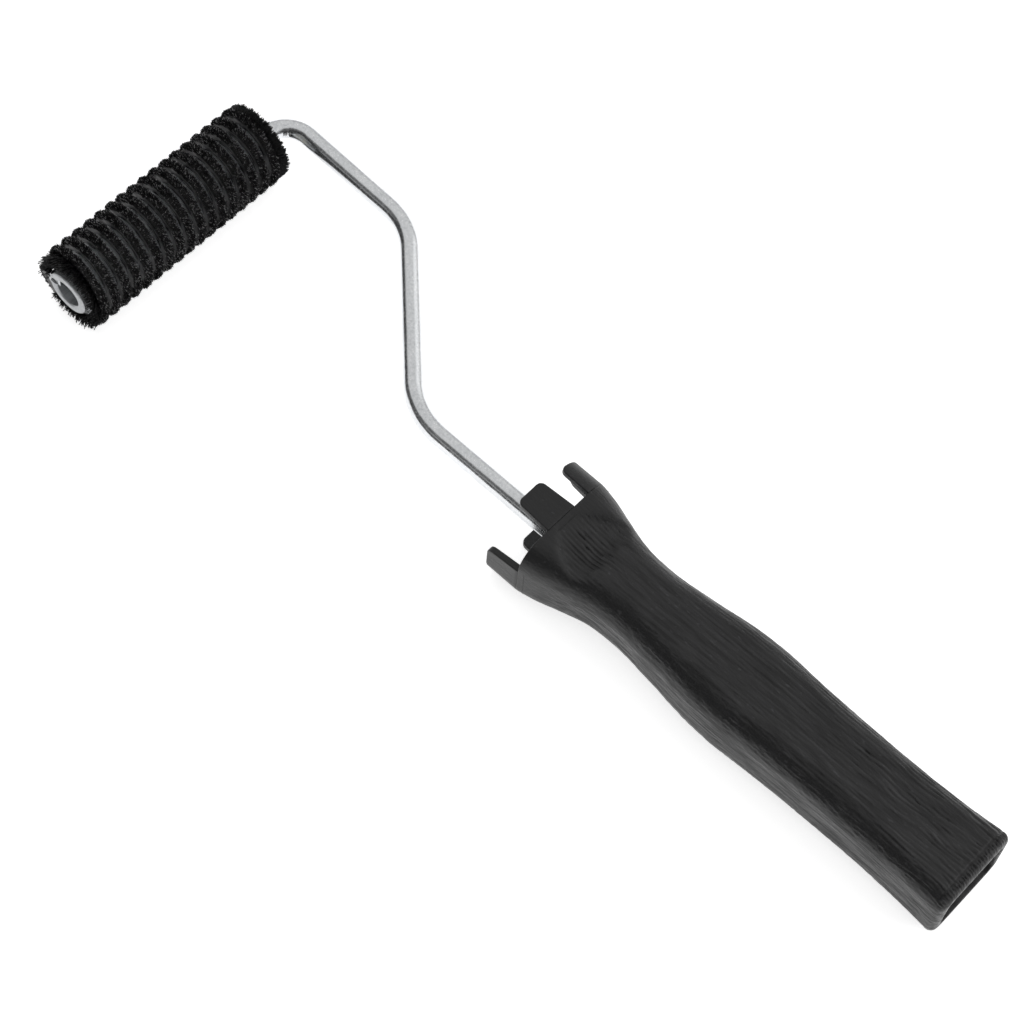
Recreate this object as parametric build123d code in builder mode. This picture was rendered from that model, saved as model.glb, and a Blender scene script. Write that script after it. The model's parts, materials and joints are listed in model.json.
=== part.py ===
"""Bristle roller on a bent wire frame, with a hollow moulded handle that has a four-pronged front.

Millimetres, +Z up.  The tool lies flat: the handle axis runs along X with the butt at +X, the roller
turns about an axis parallel to Y, and the origin is the bottom centre of the whole tool's box.
"""
import os

from build123d import *

os.makedirs("parts", exist_ok=True)

# ---------------------------------------------------------------- driving dimensions
ROLLER_R = 12.7  # over the bristle tips
AXIS_Z = ROLLER_R  # height of the wire plane
BUTT_X = 152.35  # end face of the handle's butt
HANDLE_Y = -4.1  # the handle's axis
ROLLER_X = BUTT_X - 292.0  # the roller's axis

WIRE_R = 3.0
RUN_OFFSET = 45.85  # from the handle axis to the wire's outer run, at the roller
TOE_IN = 1.88  # how much nearer the outer run is at its other end
OUTER_BEND_X = BUTT_X - 240.7
INNER_BEND_X = BUTT_X - 196.4
WIRE_END_X = BUTT_X - 62.0  # the wire's end inside the handle
ROLLER_BEND_R, OUTER_BEND_R, INNER_BEND_R = 9.0, 22.0, 24.0

TUBE_R, TUBE_BORE_R, TUBE_L = 6.9, 4.3, 74.5
FREE_Y = HANDLE_Y - 40.3  # free end face of the roller's tube
BEND_Y = FREE_Y + TUBE_L  # the tube's other end face
AXLE_END_Y = FREE_Y + 3.3  # the wire stops inside the tube's mouth
RUNNING_R = WIRE_R + 0.06  # bore of a part that turns on the wire

STRIP_PITCH = 4.15
STRIP_MARGIN = 1.75  # from a tube end to the middle of the nearest turn
STRIP_LENGTH = TUBE_L - 2 * STRIP_MARGIN
CHANNEL_W, CHANNEL_H, CHANNEL_T = 2.2, 1.7, 0.35
CORE_WIRE_R = 0.35
NOTCH_W, NOTCH_DEPTH = 2.8, 2.4  # slot in the tube's free end for the strip's start

PRONG_L, PRONG_W, PRONG_TIP_W = 11.2, 10.6, 9.3
RIM_X = BUTT_X - 142.0  # front rim of the handle's collar
WALL = 2.2
FERRULE_R = 6.0

wire_plane = Plane.XY.offset(AXIS_Z)


def across_handle(x):
    """Plane square to the handle axis at x, with its own x along Y and its own y along Z."""
    return Plane(origin=(x, HANDLE_Y, AXIS_Z), x_dir=(0, 1, 0), z_dir=(1, 0, 0))


def across_roller(y):
    """Plane square to the roller axis at y, facing the wire's bend, with its own x along -X."""
    return Plane(origin=(ROLLER_X, y, AXIS_Z), x_dir=(-1, 0, 0), z_dir=(0, 1, 0))


def save(piece, name):
    """Label a finished piece and write it as its own STEP file."""
    piece.part.label = name
    export_step(piece.part, f"parts/{name}.step")


# ---------------------------------------------------------------- bent wire frame
with BuildPart() as frame_wire:
    with BuildLine(wire_plane) as wire_path:
        route = FilletPolyline(
            (WIRE_END_X, HANDLE_Y),
            (INNER_BEND_X, HANDLE_Y),
            (OUTER_BEND_X, HANDLE_Y + RUN_OFFSET - TOE_IN),
            (ROLLER_X, HANDLE_Y + RUN_OFFSET),
            (ROLLER_X, AXLE_END_Y),
            radius=(INNER_BEND_R, OUTER_BEND_R, ROLLER_BEND_R),
        )
    with BuildSketch(Plane(origin=route @ 0, z_dir=route % 0)):
        Circle(WIRE_R)
    sweep()
    chamfer(frame_wire.faces().filter_by(Axis.Y).sort_by(Axis.Y)[0].edges(), 0.5)
    chamfer(frame_wire.faces().filter_by(Axis.X).sort_by(Axis.X)[-1].edges(), 0.5)
save(frame_wire, "frame_wire")

# ---------------------------------------------------------------- handle
# distance in front of the butt, half width, half height, corner radius
HANDLE_SECTIONS = [
    (142.0, 17.2, 12.6, 8.0),
    (136.5, 16.1, 12.4, 8.0),
    (130.0, 14.3, 11.8, 8.0),
    (121.0, 12.2, 10.9, 8.0),
    (112.0, 11.7, 10.6, 7.8),
    (98.0, 12.8, 10.8, 7.4),
    (84.0, 14.3, 11.3, 7.2),
    (76.0, 14.5, 11.5, 7.0),
    (62.0, 13.8, 11.4, 6.8),
    (44.0, 13.3, 11.1, 6.4),
    (24.0, 13.2, 11.0, 6.0),
    (9.0, 13.8, 11.0, 5.6),
    (0.0, 14.5, 11.0, 5.2),
]
RIM_HALF_W, RIM_HALF_H, RIM_CORNER = HANDLE_SECTIONS[0][1:]
RIM_INNER = (RIM_HALF_W - WALL, RIM_HALF_H - WALL, RIM_CORNER - WALL)
FRONT_POCKET_L, FRONT_POCKET_END = 18.0, (9.0, 7.6, 5.0)
BACK_POCKET_L, BACK_POCKET_END = 50.0, (9.2, 6.6, 3.0)
BUTT_MOUTH, BUTT_ROUND = (11.2, 7.8, 3.2), 2.4
THUMB_DIP_X, THUMB_DIP_R, THUMB_DIP_Z = BUTT_X - 128.6, 18.0, 9.7
SIDE_PRONG_Y = 9.8  # the side prongs wrap round a corner as far as this
SIDE_PRONG_PAST = 4.1  # how far they reach past the middle of the side wall


def rounded(half_w, half_h, corner, mode=Mode.ADD):
    """Rounded rectangle given by its half sizes, drawn in the sketch that is open."""
    return RectangleRounded(2 * half_w, 2 * half_h, corner, mode=mode)


def tongue(root_a, root_b, tip_a, tip_b, tip_corner):
    """Prong outline that narrows from its root at the rim to its tip, in the sketch that is open."""
    with BuildLine() as outline:
        Polyline((RIM_X + 2, root_a), (RIM_X, root_a), (RIM_X - PRONG_L, tip_a),
                 (RIM_X - PRONG_L, tip_b), (RIM_X, root_b), (RIM_X + 2, root_b), close=True)
    face = make_face(outline.edges())
    fillet(face.vertices().group_by(Axis.X)[0], tip_corner)


with BuildPart() as prong_shapes:
    for side in (1, -1):
        with BuildSketch(wire_plane):
            tongue(HANDLE_Y - PRONG_W / 2, HANDLE_Y + PRONG_W / 2,
                   HANDLE_Y - PRONG_TIP_W / 2, HANDLE_Y + PRONG_TIP_W / 2, 2.0)
        extrude(amount=side * 2 * RIM_HALF_H)
    for side in (1, -1):
        near, past = AXIS_Z + side * 2 * RIM_HALF_H, AXIS_Z - side * SIDE_PRONG_PAST
        with BuildSketch(Plane.XZ.offset(-HANDLE_Y - side * SIDE_PRONG_Y)):
            tongue(near, past, near, past + side * 2.0, 2.4)
        extrude(amount=-side * RIM_HALF_W)

with BuildPart() as prongs:
    with BuildSketch(across_handle(RIM_X)):
        rounded(RIM_HALF_W, RIM_HALF_H, RIM_CORNER)
        rounded(*RIM_INNER, mode=Mode.SUBTRACT)
    extrude(amount=-PRONG_L)
    add(prong_shapes.part, mode=Mode.INTERSECT)

with BuildPart() as handle_shell:
    for ahead, half_w, half_h, corner in HANDLE_SECTIONS:
        with BuildSketch(across_handle(BUTT_X - ahead)):
            rounded(half_w, half_h, corner)
    loft()
    fillet(handle_shell.faces().sort_by(Axis.X)[-1].edges(), BUTT_ROUND)
    with BuildSketch(Plane.XZ.offset(-HANDLE_Y - RIM_HALF_W)):
        for side in (1, -1):
            with Locations((THUMB_DIP_X, AXIS_Z + side * (THUMB_DIP_Z + THUMB_DIP_R))):
                Circle(THUMB_DIP_R)
    extrude(amount=2 * RIM_HALF_W, mode=Mode.SUBTRACT)
    with BuildSketch(across_handle(BUTT_X)):
        rounded(*BUTT_MOUTH)
    with BuildSketch(across_handle(BUTT_X - BACK_POCKET_L)):
        rounded(*BACK_POCKET_END)
    loft(mode=Mode.SUBTRACT)
    with BuildSketch(across_handle(RIM_X)):
        rounded(*RIM_INNER)
    with BuildSketch(across_handle(RIM_X + FRONT_POCKET_L)):
        rounded(*FRONT_POCKET_END)
    loft(mode=Mode.SUBTRACT)
    with BuildSketch(across_handle(RIM_X + FRONT_POCKET_L)):
        Circle(FERRULE_R)
    extrude(amount=BUTT_X - BACK_POCKET_L - RIM_X - FRONT_POCKET_L, mode=Mode.SUBTRACT)
    add(prongs.part)
save(handle_shell, "handle_shell")

FERRULE_START, FERRULE_END = RIM_X + FRONT_POCKET_L, BUTT_X - BACK_POCKET_L - 6.0
FERRULE_HEAD_R, FERRULE_HEAD_L = 7.4, 2.0
with BuildPart() as wire_ferrule:
    with BuildSketch(across_handle(FERRULE_START)):
        Circle(FERRULE_R)
    extrude(amount=FERRULE_END - FERRULE_START)
    with BuildSketch(across_handle(FERRULE_START)):
        Circle(FERRULE_HEAD_R)
    extrude(amount=-FERRULE_HEAD_L)
    chamfer(wire_ferrule.edges().filter_by(GeomType.CIRCLE).sort_by(Axis.X)[0], 0.6)
    with BuildSketch(across_handle(FERRULE_END)):
        Circle(WIRE_R)
    extrude(amount=-2 * (FERRULE_END - FERRULE_START), mode=Mode.SUBTRACT)
save(wire_ferrule, "wire_ferrule")

# ---------------------------------------------------------------- roller core
TAB_Z, TAB_T, TAB_W = AXIS_Z + 1.3, 0.4, 2.2
with BuildPart() as core_tube:
    with BuildSketch(across_roller(FREE_Y)):
        Circle(TUBE_R)
        Circle(TUBE_BORE_R, mode=Mode.SUBTRACT)
    extrude(amount=TUBE_L)
    chamfer(core_tube.edges().filter_by(GeomType.CIRCLE), 0.3)
    with BuildSketch(Plane(origin=(ROLLER_X, FREE_Y + NOTCH_DEPTH / 2, TAB_Z), z_dir=(-1, 0, 0))):
        Rectangle(NOTCH_DEPTH, NOTCH_W)
    extrude(amount=2 * TUBE_R, mode=Mode.SUBTRACT)
save(core_tube, "core_tube")

# name, face nearest the free end, length, outer radius, bore radius
TURNED_PIECES = [
    ("push_nut", FREE_Y + 4.1, 0.8, 3.9, WIRE_R),
    ("thrust_washer_free_end", FREE_Y + 5.2, 0.6, 4.0, WIRE_R + 0.15),
    ("bush_free_end", FREE_Y + 6.1, 9.0, TUBE_BORE_R, RUNNING_R),
    ("thrust_washer_bend_end", BEND_Y + 1.5, 0.8, 6.2, WIRE_R + 0.15),
]
for name, start_y, length, outer_r, bore_r in TURNED_PIECES:
    with BuildPart() as turned_piece:
        with BuildSketch(across_roller(start_y)):
            Circle(outer_r)
            Circle(bore_r, mode=Mode.SUBTRACT)
        extrude(amount=length)
        chamfer(turned_piece.edges().filter_by(GeomType.CIRCLE), 0.15)
    save(turned_piece, name)

BUSH_L, FLANGE_T = 9.0, 1.2
with BuildPart() as bush_bend_end:
    with BuildSketch(across_roller(BEND_Y - BUSH_L)):
        Circle(TUBE_BORE_R)
    extrude(amount=BUSH_L)
    with BuildSketch(across_roller(BEND_Y)):
        Circle(TUBE_R)
    extrude(amount=FLANGE_T)
    with BuildSketch(across_roller(BEND_Y + FLANGE_T)):
        Circle(RUNNING_R)
    extrude(amount=-BUSH_L - FLANGE_T, mode=Mode.SUBTRACT)
save(bush_bend_end, "bush_bend_end")

# ---------------------------------------------------------------- wound brush strip
STRIP_SEAT_R = TUBE_R + 0.02
half_w, inner_w = CHANNEL_W / 2, CHANNEL_W / 2 - CHANNEL_T
CHANNEL_OUTLINE = [
    (0, -half_w), (CHANNEL_H, -half_w), (CHANNEL_H, -inner_w), (CHANNEL_T, -inner_w),
    (CHANNEL_T, inner_w), (CHANNEL_H, inner_w), (CHANNEL_H, half_w), (0, half_w),
]
CORE_WIRE_AT = CHANNEL_T + 0.03 + CORE_WIRE_R
TIP_REACH = ROLLER_R - STRIP_SEAT_R
TIP_SHOULDER, TIP_HALF_W = TIP_REACH - 0.8, 1.65
ROOT_HALF_W, ROOT_IN, ROOT_OUT = inner_w - 0.05, CHANNEL_T + 0.05, CHANNEL_H + 0.05
FOLD_HALF_W, FOLD_TOP = CORE_WIRE_R + 0.03, CORE_WIRE_AT + CORE_WIRE_R + 0.07

# the helix starts on the -X side and runs under the roller first
strip_path = across_roller(FREE_Y + STRIP_MARGIN) * Helix(STRIP_PITCH, STRIP_LENGTH, STRIP_SEAT_R,
                                                          lefthand=True)
strip_section = Plane(origin=strip_path @ 0, x_dir=(-1, 0, 0), z_dir=strip_path % 0)

with BuildPart() as strip_channel:
    with BuildSketch(strip_section):
        with BuildLine():
            Polyline(*CHANNEL_OUTLINE, close=True)
        make_face()
    sweep(path=strip_path, is_frenet=True)
save(strip_channel, "strip_channel")

with BuildPart() as strip_core_wire:
    with BuildSketch(strip_section):
        with Locations((CORE_WIRE_AT, 0)):
            Circle(CORE_WIRE_R)
    sweep(path=strip_path, is_frenet=True)
save(strip_core_wire, "strip_core_wire")

with BuildPart() as bristle_ribbon:
    with BuildSketch(strip_section):
        with BuildLine():
            Polyline((TIP_SHOULDER, TIP_HALF_W), (ROOT_OUT, ROOT_HALF_W), (ROOT_IN, ROOT_HALF_W),
                     (ROOT_IN, FOLD_HALF_W), (FOLD_TOP, FOLD_HALF_W), (FOLD_TOP, -FOLD_HALF_W),
                     (ROOT_IN, -FOLD_HALF_W), (ROOT_IN, -ROOT_HALF_W), (ROOT_OUT, -ROOT_HALF_W),
                     (TIP_SHOULDER, -TIP_HALF_W))
            ThreePointArc((TIP_SHOULDER, -TIP_HALF_W), (TIP_REACH, 0), (TIP_SHOULDER, TIP_HALF_W))
        make_face()
    sweep(path=strip_path, is_frenet=True)
save(bristle_ribbon, "bristle_ribbon")

# bent end of the strip's channel, hooked through the tube's notch into its bore
HOOK_Y, HOOK_OUTER_L, HOOK_INNER_L = FREE_Y + 0.5, 2.0, 2.2
HOOK_OUTER_X, HOOK_INNER_X = ROLLER_X - TUBE_R - 0.02, ROLLER_X - 3.5
with BuildPart() as strip_start_hook:
    with BuildSketch(Plane.XY.offset(TAB_Z - TAB_W / 2)):
        with BuildLine():
            Polyline((HOOK_OUTER_X, HOOK_Y + HOOK_OUTER_L),
                     (HOOK_OUTER_X - TAB_T, HOOK_Y + HOOK_OUTER_L), (HOOK_OUTER_X - TAB_T, HOOK_Y),
                     (HOOK_INNER_X + TAB_T, HOOK_Y), (HOOK_INNER_X + TAB_T, HOOK_Y + HOOK_INNER_L),
                     (HOOK_INNER_X, HOOK_Y + HOOK_INNER_L), (HOOK_INNER_X, HOOK_Y + TAB_T),
                     (HOOK_OUTER_X, HOOK_Y + TAB_T), close=True)
        make_face()
    extrude(amount=TAB_W)
save(strip_start_hook, "strip_start_hook")
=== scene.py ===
"""Studio scene of a bristle roller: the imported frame, dressed as bent wire, moulded handle and wound brush.

Sizes are in millimetres in the fields and become metres where a mesh is made.  +X runs along the handle to
its butt, +Y along the roller to the wire's bend, +Z is up, and the tool lies on the floor.
"""

from __future__ import annotations

import json
import logging
import math
from collections.abc import Sequence
from dataclasses import dataclass, field
from enum import Enum
from typing import Any, NamedTuple

import bpy
import numpy as np
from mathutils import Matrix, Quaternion, Vector

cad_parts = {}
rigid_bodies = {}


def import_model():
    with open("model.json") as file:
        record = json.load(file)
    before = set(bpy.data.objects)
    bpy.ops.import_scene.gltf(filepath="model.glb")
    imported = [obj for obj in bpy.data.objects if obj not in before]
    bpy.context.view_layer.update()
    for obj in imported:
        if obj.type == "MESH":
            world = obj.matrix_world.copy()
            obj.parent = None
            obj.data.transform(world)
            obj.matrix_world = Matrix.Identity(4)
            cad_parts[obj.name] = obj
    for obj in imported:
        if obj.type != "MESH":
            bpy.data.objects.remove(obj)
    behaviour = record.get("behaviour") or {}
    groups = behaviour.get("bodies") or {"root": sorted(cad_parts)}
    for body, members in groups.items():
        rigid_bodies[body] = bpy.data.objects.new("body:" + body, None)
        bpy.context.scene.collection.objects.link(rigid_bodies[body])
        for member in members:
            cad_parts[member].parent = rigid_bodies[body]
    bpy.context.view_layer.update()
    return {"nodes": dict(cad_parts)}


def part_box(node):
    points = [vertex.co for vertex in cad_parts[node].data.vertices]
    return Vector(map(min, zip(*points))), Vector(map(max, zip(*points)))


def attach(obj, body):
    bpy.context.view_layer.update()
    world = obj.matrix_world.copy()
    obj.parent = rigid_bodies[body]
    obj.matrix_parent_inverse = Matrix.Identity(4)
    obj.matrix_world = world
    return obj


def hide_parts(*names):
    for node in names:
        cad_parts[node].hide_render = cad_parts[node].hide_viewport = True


LOG = logging.getLogger("bristle_roller")
MM = 0.001
FULL_TURN = 2 * math.pi
NOISE_CELLS = 64


class Body(Enum):
    """The two bodies that the tool comes apart into when the roller turns."""

    FRAME = "frame"
    ROLLER = "roller"


# ------------------------------------------------------------------ small tools


def hex_colour(code: str) -> tuple[float, float, float, float]:
    """Turns an sRGB hex colour into linear RGBA.

    Args:
        code: Six hex digits, such as "c8cacc".

    Returns:
        Linear red, green and blue, and an alpha of one.
    """
    shares = [int(code[i : i + 2], 16) / 255 for i in (0, 2, 4)]
    linear = [s / 12.92 if s <= 0.04045 else ((s + 0.055) / 1.055) ** 2.4 for s in shares]
    return (*linear, 1.0)


def add_node(tree: bpy.types.NodeTree, kind: str, inputs: dict | Sequence | None = None,
             **settings: Any) -> bpy.types.Node:
    """Adds a node to a tree, with its settings, socket values and incoming links.

    Args:
        tree: The shader or geometry tree.
        kind: The node's type name.
        inputs: A value, or an output socket to link, for each input socket: by name or index, or in order.
        settings: The node's own properties.

    Returns:
        The new node.
    """
    node = tree.nodes.new(kind)
    for name, value in settings.items():
        setattr(node, name, value)
    pairs = inputs.items() if isinstance(inputs, dict) else enumerate(inputs or ())
    for socket, given in pairs:
        if isinstance(given, bpy.types.NodeSocket):
            tree.links.new(given, node.inputs[socket])
        else:
            node.inputs[socket].default_value = given
    return node


def smooth_step(low: float, high: float, at: np.ndarray) -> np.ndarray:
    """Rises smoothly from 0 at low to 1 at high; low may be the larger of the two."""
    share = np.clip((at - low) / (high - low), 0, 1)
    return share * share * (3 - 2 * share)


def soft_noise(u: np.ndarray, v: np.ndarray, seed: int) -> np.ndarray:
    """Smooth value noise from -1 to 1, with one cell for each unit of u and of v.

    Args:
        u: First coordinates.
        v: Second coordinates, of a shape that broadcasts with u.
        seed: Fixes the pattern.

    Returns:
        The noise at each pair of coordinates.
    """
    side = NOISE_CELLS
    lattice = np.random.default_rng(seed).uniform(-1, 1, (side, side))
    u, v = np.broadcast_arrays(u, v)
    cell_u, cell_v = np.floor(u).astype(int), np.floor(v).astype(int)
    share_u, share_v = smooth_step(0, 1, u - cell_u), smooth_step(0, 1, v - cell_v)
    corner = [[lattice[(cell_u + i) % side, (cell_v + j) % side] for j in (0, 1)] for i in (0, 1)]
    near = corner[0][0] * (1 - share_v) + corner[0][1] * share_v
    far = corner[1][0] * (1 - share_v) + corner[1][1] * share_v
    return near * (1 - share_u) + far * share_u


def follow(stations: np.ndarray, values: np.ndarray, at: np.ndarray) -> np.ndarray:
    """Draws one smooth curve through values that are given at rising stations.

    Args:
        stations: Where the values stand, in rising order.
        values: The value at each station.
        at: Where the curve is wanted.

    Returns:
        The curve's value at each place in at.
    """
    slopes = np.gradient(values, stations)
    i = np.clip(np.searchsorted(stations, at) - 1, 0, len(stations) - 2)
    step = stations[i + 1] - stations[i]
    t = (at - stations[i]) / step
    return ((2 * t**3 - 3 * t**2 + 1) * values[i] + (t**3 - 2 * t**2 + t) * step * slopes[i]
            + (3 * t**2 - 2 * t**3) * values[i + 1] + (t**3 - t**2) * step * slopes[i + 1])


def ring_faces(rings: int, around: int, closed: bool = False) -> list[tuple[int, ...]]:
    """Quads that join rings of points into a tube.

    Args:
        rings: How many rings there are.
        around: How many points each ring has.
        closed: Whether the last ring joins the first.  If not, both ends get a cap.

    Returns:
        The faces, as tuples of point numbers.
    """
    faces = []
    for i in range(rings if closed else rings - 1):
        here, there = i * around, (i + 1) % rings * around
        for j in range(around):
            k = (j + 1) % around
            faces.append((here + j, here + k, there + k, there + j))
    if not closed:
        faces.append(tuple(range(around))[::-1])
        faces.append(tuple((rings - 1) * around + j for j in range(around)))
    return faces


def mesh_volume(points: np.ndarray, faces: list[tuple[int, ...]]) -> float:
    """Finds the signed volume of a closed mesh.

    Args:
        points: One row of x, y and z for each point.
        faces: Tuples of point numbers.

    Returns:
        The volume, above zero where the faces point outwards.
    """
    total = 0.0
    for size in {len(face) for face in faces}:
        corner = points[np.array([face for face in faces if len(face) == size])]
        for k in range(1, size - 1):
            cross = np.cross(corner[:, k], corner[:, k + 1])
            total += float(np.einsum("ij,ij->", corner[:, 0], cross))
    return total / 6


def make_piece(name: str, points: np.ndarray, faces: list[tuple[int, ...]],
               sharp_deg: float = 40.0) -> bpy.types.Object:
    """Makes an object from points in millimetres, with its faces turned outwards and shaded smooth.

    Args:
        name: The piece's name.
        points: One row of x, y and z for each point.
        faces: Tuples of point numbers.
        sharp_deg: Edges that bend by more than this stay sharp.

    Returns:
        The new object, at the origin.
    """
    points = points.reshape(-1, 3)
    if mesh_volume(points, faces) < 0:
        faces = [face[::-1] for face in faces]
    mesh = bpy.data.meshes.new(name)
    mesh.from_pydata((points * MM).tolist(), [], faces)
    mesh.polygons.foreach_set("use_smooth", [True] * len(mesh.polygons))
    mesh.set_sharp_from_angle(angle=math.radians(sharp_deg))
    piece = bpy.data.objects.new(name, mesh)
    bpy.context.scene.collection.objects.link(piece)
    return piece


def bake_modifiers(piece: bpy.types.Object) -> None:
    """Replaces a piece's mesh with what its modifiers make of it, and removes them.

    Args:
        piece: The piece, with its modifiers live.
    """
    bpy.context.view_layer.update()
    evaluated = piece.evaluated_get(bpy.context.evaluated_depsgraph_get())
    piece.data = bpy.data.meshes.new_from_object(evaluated)
    piece.modifiers.clear()


# ------------------------------------------------------------------ finishes


@dataclass(frozen=True)
class Coat:
    """A material under way: its tree, its shader, and the coordinates that its patterns read."""

    tree: bpy.types.NodeTree
    shader: bpy.types.Node
    place: bpy.types.NodeSocket

    def grain(self, size_mm: float, stretch: tuple[float, float, float] = (1, 1, 1),
              detail: float = 2.0) -> bpy.types.NodeSocket:
        """Makes noise that is drawn out along each axis where its stretch is small.

        Args:
            size_mm: About how wide a lump is.
            stretch: How many times finer the noise is along each axis.
            detail: How many finer layers are added.

        Returns:
            The noise's value, near 0.5 on average.
        """
        mapping = add_node(self.tree, "ShaderNodeMapping", {"Scale": stretch, "Vector": self.place})
        noise = add_node(self.tree, "ShaderNodeTexNoise", {
            "Scale": 1 / (size_mm * MM * 2), "Detail": detail, "Vector": mapping.outputs["Vector"]})
        return noise.outputs[0]

    def spread(self, value: bpy.types.NodeSocket, low: float, high: float,
               from_low: float = 0.3, from_high: float = 0.7) -> bpy.types.NodeSocket:
        """Maps a value that runs from from_low to from_high to the range from low to high."""
        return add_node(self.tree, "ShaderNodeMapRange", {
            "From Min": from_low, "From Max": from_high, "To Min": low, "To Max": high,
            "Value": value}).outputs["Result"]

    def tint(self, value: bpy.types.NodeSocket, stops: dict[float, str]) -> None:
        """Colours the shader by a value.

        Args:
            value: What the colour follows.
            stops: The colour at each value, blended between them.
        """
        ramp = add_node(self.tree, "ShaderNodeValToRGB", [value])
        elements = ramp.color_ramp.elements
        while len(elements) < len(stops):
            elements.new(0.5)
        for element, (position, code) in zip(elements, sorted(stops.items())):
            element.position = position
            element.color = hex_colour(code)
        self.tree.links.new(ramp.outputs["Color"], self.shader.inputs["Base Color"])

    def roughen(self, value: bpy.types.NodeSocket, low: float, high: float,
                from_low: float = 0.3, from_high: float = 0.7) -> None:
        """Makes the shader's roughness follow a value, from low to high."""
        rough = self.spread(value, low, high, from_low, from_high)
        self.tree.links.new(rough, self.shader.inputs["Roughness"])

    def relief(self, height: bpy.types.NodeSocket, depth_mm: float) -> None:
        """Gives the shader a bump of the given depth."""
        bump = add_node(self.tree, "ShaderNodeBump", {
            "Distance": depth_mm * MM, "Strength": 1.0, "Height": height})
        self.tree.links.new(bump.outputs["Normal"], self.shader.inputs["Normal"])


@dataclass(frozen=True)
class Finish:
    """What every finish has: a name, a main colour, and how rough and metallic it is."""

    name: str
    colour: str
    roughness: float
    metallic: float = 0.0

    def material(self) -> bpy.types.Material:
        """Makes the Blender material of this finish.

        Returns:
            The new material.
        """
        material = bpy.data.materials.new(self.name)
        material.use_nodes = True
        tree = material.node_tree
        tree.nodes.clear()
        shader = add_node(tree, "ShaderNodeBsdfPrincipled", {
            "Base Color": hex_colour(self.colour), "Roughness": self.roughness,
            "Metallic": self.metallic})
        add_node(tree, "ShaderNodeOutputMaterial", {"Surface": shader.outputs["BSDF"]})
        place = add_node(tree, "ShaderNodeTexCoord").outputs["Object"]
        self.dress(Coat(tree, shader, place))
        return material

    def dress(self, coat: Coat) -> None:
        """Adds the finish's own pattern to its material."""
        raise NotImplementedError


@dataclass(frozen=True)
class ZincPlate(Finish):
    """Bright zinc plate on drawn wire: satin grey, with a mottle where the plate grew unevenly.

    The real spangle is finer than the mottle, which is drawn as coarse as it needs to be to show.
    """

    mottle_mm: float = 0.38
    cloud_mm: float = 6.0
    cloud_share: float = 0.45
    depth_mm: float = 0.009

    def dress(self, coat: Coat) -> None:
        """Mottles colour, roughness and height, with clouds that keep long runs from looking even.

        Args:
            coat: The material under way.
        """
        mottle = coat.grain(self.mottle_mm, detail=3.0)
        clouds = coat.grain(self.cloud_mm)
        both = add_node(coat.tree, "ShaderNodeMath", [clouds, self.cloud_share, mottle],
                        operation="MULTIPLY_ADD").outputs[0]
        coat.tint(both, {0.45: "d4d6d8", 0.72: self.colour, 1.0: "f2f3f4"})
        coat.roughen(mottle, self.roughness - 0.06, self.roughness + 0.08)
        coat.relief(mottle, self.depth_mm)


@dataclass(frozen=True)
class RolledStrip(Finish):
    """Galvanised strip and stamped washers: light grey with streaks round the roller's axis."""

    streak_mm: float = 0.25
    depth_mm: float = 0.02

    def dress(self, coat: Coat) -> None:
        """Draws streaks that run round the roller, much finer along its axis.

        Args:
            coat: The material under way.
        """
        streaks = coat.grain(self.streak_mm, (0.12, 1, 0.12))
        coat.tint(streaks, {0.3: "8f9193", 0.7: self.colour})
        coat.roughen(streaks, self.roughness - 0.08, self.roughness + 0.1)
        coat.relief(streaks, self.depth_mm)


@dataclass(frozen=True)
class ExtrudedTube(Finish):
    """Mill-finish aluminium tube: pale grey with faint die lines along its length and a sawn end."""

    line_mm: float = 0.3
    cloud_mm: float = 2.5
    cloud_share: float = 0.6
    depth_mm: float = 0.015

    def dress(self, coat: Coat) -> None:
        """Draws die lines along Y, and a slow cloud of oxide over them.

        Args:
            coat: The material under way.
        """
        lines = coat.grain(self.line_mm, (1, 0.03, 1))
        clouds = coat.grain(self.cloud_mm)
        both = add_node(coat.tree, "ShaderNodeMath", [clouds, self.cloud_share, lines],
                        operation="MULTIPLY_ADD").outputs[0]
        coat.tint(both, {0.55: "9c9ea0", 0.95: self.colour})
        coat.roughen(lines, self.roughness - 0.06, self.roughness + 0.08)
        coat.relief(lines, self.depth_mm)


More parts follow.
